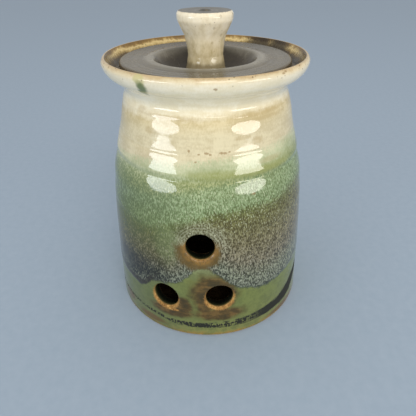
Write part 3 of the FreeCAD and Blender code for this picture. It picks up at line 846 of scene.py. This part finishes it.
def makeLayeredGlaze():
    # Rutile glaze run over a green one: milky needles in a darker ground, cream where thin at the
    # neck, mint on the belly, brown and blue-grey where it pools, and glossy all over.
    material, add, place = newMaterial("layered rutile stoneware glaze")
    split = add("SeparateXYZ", None, place)
    height = split.outputs["Z"]
    angle = add("Math", "ARCTAN2", split.outputs["X"], add(*times, split.outputs["Y"], -1.0))
    turn = add("Math", "MULTIPLY_ADD", angle, 1 / math.tau, 0.5)
    flat = add("CombineXYZ", None, x=add(*times, angle, glazeSizes["unrolled"]), z=height)
    noises = {
        "needles": lumps(add, place, glazeSizes["needleSize"], 2.0, 0.4),
        "sparks": lumps(add, place, 0.42, 1.0, 0.38),
        "dashes": lumps(add, place, 0.8, 1.0, 0.4),
        "grain": lumps(add, place, glazeSizes["grainSize"], 2.5, 0.5),
        "clumps": lumps(add, place, 2.2, 2.0),
        "blotch": lumps(add, place, 4.0),
        "cloud": lumps(add, place, 13.0),
        "brush": lumps(add, place, 1.1, across=0.15),    # strokes lie round the pot
    }
    grain, blotch = noises["grain"], noises["blotch"]
    upper, isUpper, leftShadeAndThinGlaze = makeUpperGlaze(add, flat, height, turn, noises)
    colour = add("Mix", "RGBA", isUpper, makeLowerGlaze(add, flat, height, leftShadeAndThinGlaze, noises), upper)
    oxideLine = makeFootLine(add, height, turn, noises)
    rimSpecks = add(*times, ironSpecks(add, place, 1.5, 0.38, 0.4), add(*smooth, height, 112.5, 115.2))
    bare = patchMask(add, flat, grain, "bare", 0.07, 0.45)
    clay = add("ValToRGB", ((0.3, "#6A4819"), (0.5, "#976F35"), (0.7, "#C59A59")),
               shifted(add, grain, (blotch, 0.4)))
    depth = depthInWall(add, height, fromAxis(add, place))
    # the vents' bores: dark green glaze, painted darker to near black deeper into the wall as shade
    inBore = add(*times, add(*smooth, depth, 0.6, 1.1), add(*smooth, height, 70.0, 60.0))
    boreGlazeAndShade = add("ValToRGB", ((0.0, "#4A4320"), (0.4, "#23271A"), (1.0, "#0E100B")),
               add(*smooth, depth, 0.6, 3.0))
    colour = layWashes(add, colour, (oxideLine, 0.97, "#0A0D08"),
                       (patchMask(add, flat, grain, "rust", 0.4, 1.4), 0.65, "#8A6A3A"),
                       (rimSpecks, 0.75, "#5F4826"), (bare, 1.0, clay), (inBore, 1.0, boreGlazeAndShade))

    # the bare lips and the oxide are dry, and the rest is glossier towards the neck
    bareLip = add(*times, bare, add(*smooth, depth, 1.2, 0.9))
    glossy = add(*smooth, height, 60.0, 78.0, 0.13, 0.05)
    roughness = add("Mix", "FLOAT", strongest(add, [bareLip, oxideLine]), glossy, 0.8)
    relief = add("Math", "MULTIPLY_ADD", grain, 0.35, blotch)
    strength = add(*smooth, height, 66.0, 82.0, 0.35, 0.06)
    finishMaterial(add, colour, roughness, relief, 0.12, strength, 1.52)
    return material


def makeIronWash():
    # Iron brushed on the gallery and glazed thinly: gold where it is thin on the rim, in short strokes up
    # and down. It is painted near black towards the ledge and on it, as the shadow in the gap under the
    # lid.
    material, add, place = newMaterial("iron wash under clear glaze")
    strokes = lumps(add, place, 1.1, up=0.25)
    reach = shifted(add, fromAxis(add, place), (strokes, 1.3), (lumps(add, place, 9.0), 1.6))
    colour = add("ValToRGB", ((0.0, "#1A1207"), (0.25, "#31240F"), (0.45, "#644F27"), (0.62, "#B3985D"),
                              (0.8, "#E8CF93"), (0.9, "#96763F"), (1.0, "#6A5129")),
                 add(*smooth, reach, 35.6, 40.6))
    height = add("SeparateXYZ", None, place).outputs["Z"]
    # darker at the back right, and painted shade on the gallery's sides
    backRight = pitMarks(add, place, ((25, 29, 113.5, 11), (32, 21, 113.5, 11)), 0.7)
    sides = pitMarks(add, place, ((39, -6, 113.5, 19), (-39, -8, 113.5, 19)), 0.8)
    # painted shadow: the ledge under the lid is dark
    colour = layWashes(add, colour, (add(*smooth, height, 111.6, 111.1), 1.0, "#3A2C18"),
                       (ironSpecks(add, place, 1.1, 0.3, 0.35), 0.7, "#33230F"),
                       (backRight, 0.9, "#1C1106"), (sides, 0.7, "#33260F"))
    finishMaterial(add, colour, add(*smooth, strokes, 0.3, 0.7, 0.18, 0.34), strokes, 0.08)
    return material


def makeLinerGlaze():
    # Brown liner poured in and out again: glassy, with slow runs, and painted darker towards the floor as
    # shade deep inside the jar.
    material, add, place = newMaterial("brown liner glaze")
    height = add("SeparateXYZ", None, place).outputs["Z"]
    runs = lumps(add, place, 3.0, up=0.2)
    mixed = shifted(add, runs, (lumps(add, place, 14.0), 0.8))
    colour = add("ValToRGB",
                 ((0.25, "#3A2A16"), (0.45, "#54402A"), (0.6, "#6E5638"), (0.8, "#86704A")), mixed)
    # painted shade: darker towards the floor
    colour = layWashes(add, colour, (add(*smooth, height, 48.0, 14.0), 0.85, "#1A1209"),
                       (ironSpecks(add, place, 3.0, 0.5, 0.3), 0.7, "#20160B"))
    finishMaterial(add, colour, add(*smooth, runs, 0.3, 0.7, 0.14, 0.24), mixed, 0.08)
    return material


def makeBareClay():
    # Toasted stoneware, wiped with a sponge: dry, sandy, with fine turning marks and iron grains.
    material, add, place = newMaterial("bare stoneware")
    sand = lumps(add, place, 0.5)
    turned = add("TexNoise", "1D", fromAxis(add, place), scale=1.4, detail=3.0, roughness=0.6)
    mixed = shifted(add, sand, (turned, 0.4), (lumps(add, place, 12.0), 0.9))
    colour = add("ValToRGB", ((0.2, "#7E5F3A"), (0.5, "#A98A60"), (0.8, "#C4A77C")), mixed)
    colour = layWashes(add, colour, (ironSpecks(add, place, 1.6, 0.35, 0.3), 0.8, "#3E2A18"))
    finishMaterial(add, colour, 0.82, shifted(add, sand, (turned, 0.8)), 0.16, ior=1.45)
    return material


def makeLidGlaze():
    # The rutile glaze of the lid: satin, with the throwing rings picked out and a few iron specks. Its grey
    # on the level top is painted shade, it is painted browner and darker down in the well, on the far side
    # and at the edge by the gallery as shade, and the lighter band on the lip is a painted highlight.
    material, add, place = newMaterial("rutile lid glaze shaded grey")
    radius = fromAxis(add, place)
    fibres = lumps(add, place, 0.7)
    clouds = lumps(add, place, 7.0)
    turned = add("TexNoise", "4D", add("VectorMath", "SCALE", place, scale=0.03),
                 w=add(*times, radius, 0.55), scale=1.0, detail=3.0, roughness=0.6)
    mixed = shifted(add, clouds, (turned, 0.6), (fibres, 0.4))
    # the level tone is painted grey as shade on the level top, and the well tone is painted shade
    tones = (("#4D4636", "#605848", "#756D5D"), ("#241C0E", "#34291A", "#463B28"),
             ("#858072", "#9C978A", "#B4AFA2"))
    level, well, lip = [add("ValToRGB", tuple(zip((0.2, 0.5, 0.8), tone)), mixed) for tone in tones]
    soft = shifted(add, radius, (clouds, 2.5))
    lipHighlight = add(*times, add(*smooth, soft, 19.0, 21.5), add(*smooth, soft, 26.0, 23.0))
    farSideShade = shifted(add, add("SeparateXYZ", None, place).outputs["Y"], (clouds, 12.0))
    edge = shifted(add, radius, (fibres, 0.8))
    pits = pitMarks(add, place, ((-12.6, -15.8, 114.0, 0.75), (26.0, 8.0, 114.6, 0.4)))
    specks = add(*times, ironSpecks(add, place, 4.5, 0.45, 0.35), 0.6)
    # painted shade in the well, on the far side and at the edge by the gallery, and a painted highlight on
    # the lip
    colour = layWashes(add, level, (add(*smooth, soft, 21.0, 18.0), 1.0, well),
                       (lipHighlight, 0.6, lip),
                       (add(*smooth, farSideShade, 2.0, 24.0), 0.6, "#3E3A30"),
                       (add(*smooth, edge, 33.7, 34.5), 0.7, "#5A4A30"),
                       (strongest(add, [specks, pits]), 1.0, "#2A2115"))
    roughness = add(*smooth, clouds, 0.35, 0.65, 0.2, 0.28)
    finishMaterial(add, colour, roughness, shifted(add, fibres, (turned, 0.3)), 0.06)
    return material


def makeKnobGlaze():
    # Cream rutile glaze over speckled clay: warm and mottled on the stem, milky on the head, with dark iron
    # pits. The level top is painted dark grey as shade, the foot is painted darker as shade in the well,
    # partly grime, and the paler head is partly painted light.
    material, add, place = newMaterial("cream rutile knob glaze")
    height = add("SeparateXYZ", None, place).outputs["Z"]
    radius = fromAxis(add, place)
    mottle = lumps(add, place, 2.6, up=0.6)
    fibres = lumps(add, place, 0.6, up=0.5)
    mixed = shifted(add, mottle, (fibres, 0.4))
    stem = add("ValToRGB",
               ((0.2, "#A99870"), (0.45, "#C3B38C"), (0.6, "#CDBE9A"), (0.85, "#D9CCAD")), mixed)
    head = add("ValToRGB", ((0.2, "#DFD1B2"), (0.5, "#EFE3C9"), (0.85, "#F6EDDA")), mixed)
    # painted shade: the level top is dark grey
    disc = add("ValToRGB", ((0.2, "#2A2A27"), (0.5, "#383835"), (0.85, "#4C4D49")), mixed)
    rings = add("TexNoise", "1D", radius, scale=0.9, detail=2.0)
    disc = layWashes(add, disc, (add(*smooth, rings, 0.4, 0.8), 1.0, "#5A5850"))
    onDisc = add(*times, add(*smooth, height, 131.1, 131.4),
                 add(*smooth, shifted(add, radius, (fibres, 0.8)), 10.5, 10.0))
    # paler up towards the head: the milky glaze, partly painted light on the head over a shaded stem
    onHead = add(*smooth, shifted(add, height, (mottle, 6.0)), 112.0, 131.0)
    # painted shade, partly grime: darker at the foot down in the well
    footGrimeAndShade = add(*smooth, shifted(add, height, (mottle, 2.0)), 113.8, 112.2)
    pits = pitMarks(add, place,
                    ((0.4, -10.4, 127.9, 0.42), (6.2, -6.6, 125.3, 0.42), (10.3, -3.2, 130.4, 0.6)))
    colour = layWashes(add, stem, (onHead, 1.0, head), (onDisc, 1.0, disc), (footGrimeAndShade, 0.5, "#685942"),
                       (ironSpecks(add, place, 2.6, 0.8, 0.35), 0.35, "#8E7B52"),
                       (ironSpecks(add, place, 1.7, 0.24, 0.3), 0.6, "#6A5838"), (pits, 0.85, "#3E3822"))
    finishMaterial(add, colour, add("Mix", "FLOAT", onDisc, 0.06, 0.3), mixed, 0.08, 0.12)
    return material


stage = {
    "floorColour": "#A6B6C9", "floorShade": "#A0B1C5",
    "floorSize": 12.0,       # metres
    "worldColour": "#F0EFEB", "worldStrength": 0.74,
    "aim": (0, 0, 0.07),     # what the lamps point at, in metres
}
# Each lamp stands "turn" degrees round from the front. Its other sizes are in metres.
lamps = (
    {"name": "softbox_left", "turn": -53.2, "distance": 1.6, "height": 0.172, "wide": 1.13, "tall": 0.32,
     "tilt": 6.0, "watts": 7.2, "colour": "#EEF4F8"},
    {"name": "softbox_right", "turn": 50.8, "distance": 1.6, "height": 0.172, "wide": 1.16, "tall": 0.32,
     "tilt": -6.0, "watts": 7.2, "colour": "#FFFBF2"},
    {"name": "softbox_front", "turn": 12.0, "distance": 1.0, "height": 0.8, "wide": 0.9, "tall": 0.6,
     "tilt": 0.0, "watts": 6.0, "colour": "#FFFCF4"},
)
cameraSetup = {
    "place": (0.002376, -0.164803, 0.148917),    # metres
    "down": 33.273, "roll": -0.555,              # degrees
    "lens": 33.372, "sensor": 36.0,              # millimetres
    "shiftX": -0.01183, "shiftY": 0.0003, "clipStart": 0.01,
}


def makePaper():
    # Rolled background paper: matt, with a fibre too fine to see but as a slight change of tone.
    material, add, place = newMaterial("pale blue background paper")
    fibres = lumps(add, place, 4.0)
    colour = add("ValToRGB", ((0.3, stage["floorShade"]), (0.7, stage["floorColour"])), fibres)
    finishMaterial(add, colour, 0.9, fibres, 0.02, ior=1.45)
    return material


def makeStage():
    ground = bmesh.new()
    bmesh.ops.create_grid(ground, x_segments=1, y_segments=1, size=stage["floorSize"] / 2)
    mesh = bpy.data.meshes.new("floor")
    ground.to_mesh(mesh)
    ground.free()
    mesh.materials.append(makePaper())
    floor = placeObject("floor", mesh)
    world = bpy.data.worlds.new("soft_room")
    bpy.context.scene.world = world
    world.use_nodes = True
    background = world.node_tree.nodes["Background"]
    background.inputs["Color"].default_value = linearColour(stage["worldColour"])
    background.inputs["Strength"].default_value = stage["worldStrength"]


def makeLamp(lamp):
    light = bpy.data.lights.new(lamp["name"], "AREA")
    light.shape = "ELLIPSE"
    light.size = lamp["wide"]
    light.size_y = lamp["tall"]
    light.energy = lamp["watts"]
    light.color = linearColour(lamp["colour"])[:3]
    turned = math.radians(lamp["turn"])
    place = Vector((math.sin(turned), -math.cos(turned), 0)) * lamp["distance"]
    place.z = lamp["height"]
    facing = (Vector(stage["aim"]) - place).to_track_quat("-Z", "Y").to_matrix().to_4x4()
    tilt = Matrix.Rotation(math.radians(lamp["tilt"]), 4, "Z")
    placeObject(lamp["name"], light).matrix_world = Matrix.Translation(place) @ facing @ tilt


def makeCamera():
    lens = bpy.data.cameras.new("camera")
    lens.lens = cameraSetup["lens"]
    lens.sensor_width = cameraSetup["sensor"]
    lens.shift_x = cameraSetup["shiftX"]
    lens.shift_y = cameraSetup["shiftY"]
    lens.clip_start = cameraSetup["clipStart"]
    tilt = Matrix.Rotation(math.radians(90 - cameraSetup["down"]), 4, "X")
    roll = Matrix.Rotation(math.radians(cameraSetup["roll"]), 4, "Z")
    camera = placeObject("camera", lens)
    camera.matrix_world = Matrix.Translation(cameraSetup["place"]) @ tilt @ roll
    bpy.context.scene.camera = camera


glaze = makeLayeredGlaze()
ironWash = makeIronWash()
liner = makeLinerGlaze()
clay = makeBareClay()
lidGlaze = makeLidGlaze()
knobGlaze = makeKnobGlaze()
print("glazes and clay mixed")

makeJar((glaze, ironWash, liner, clay))
makeLid((lidGlaze, liner, clay))
makeKnob((knobGlaze,))
print("pot thrown")

makeStage()
for lamp in lamps:
    makeLamp(lamp)
makeCamera()
bpy.context.scene.view_settings.view_transform = "Standard"
print("stage, lamps and camera set")
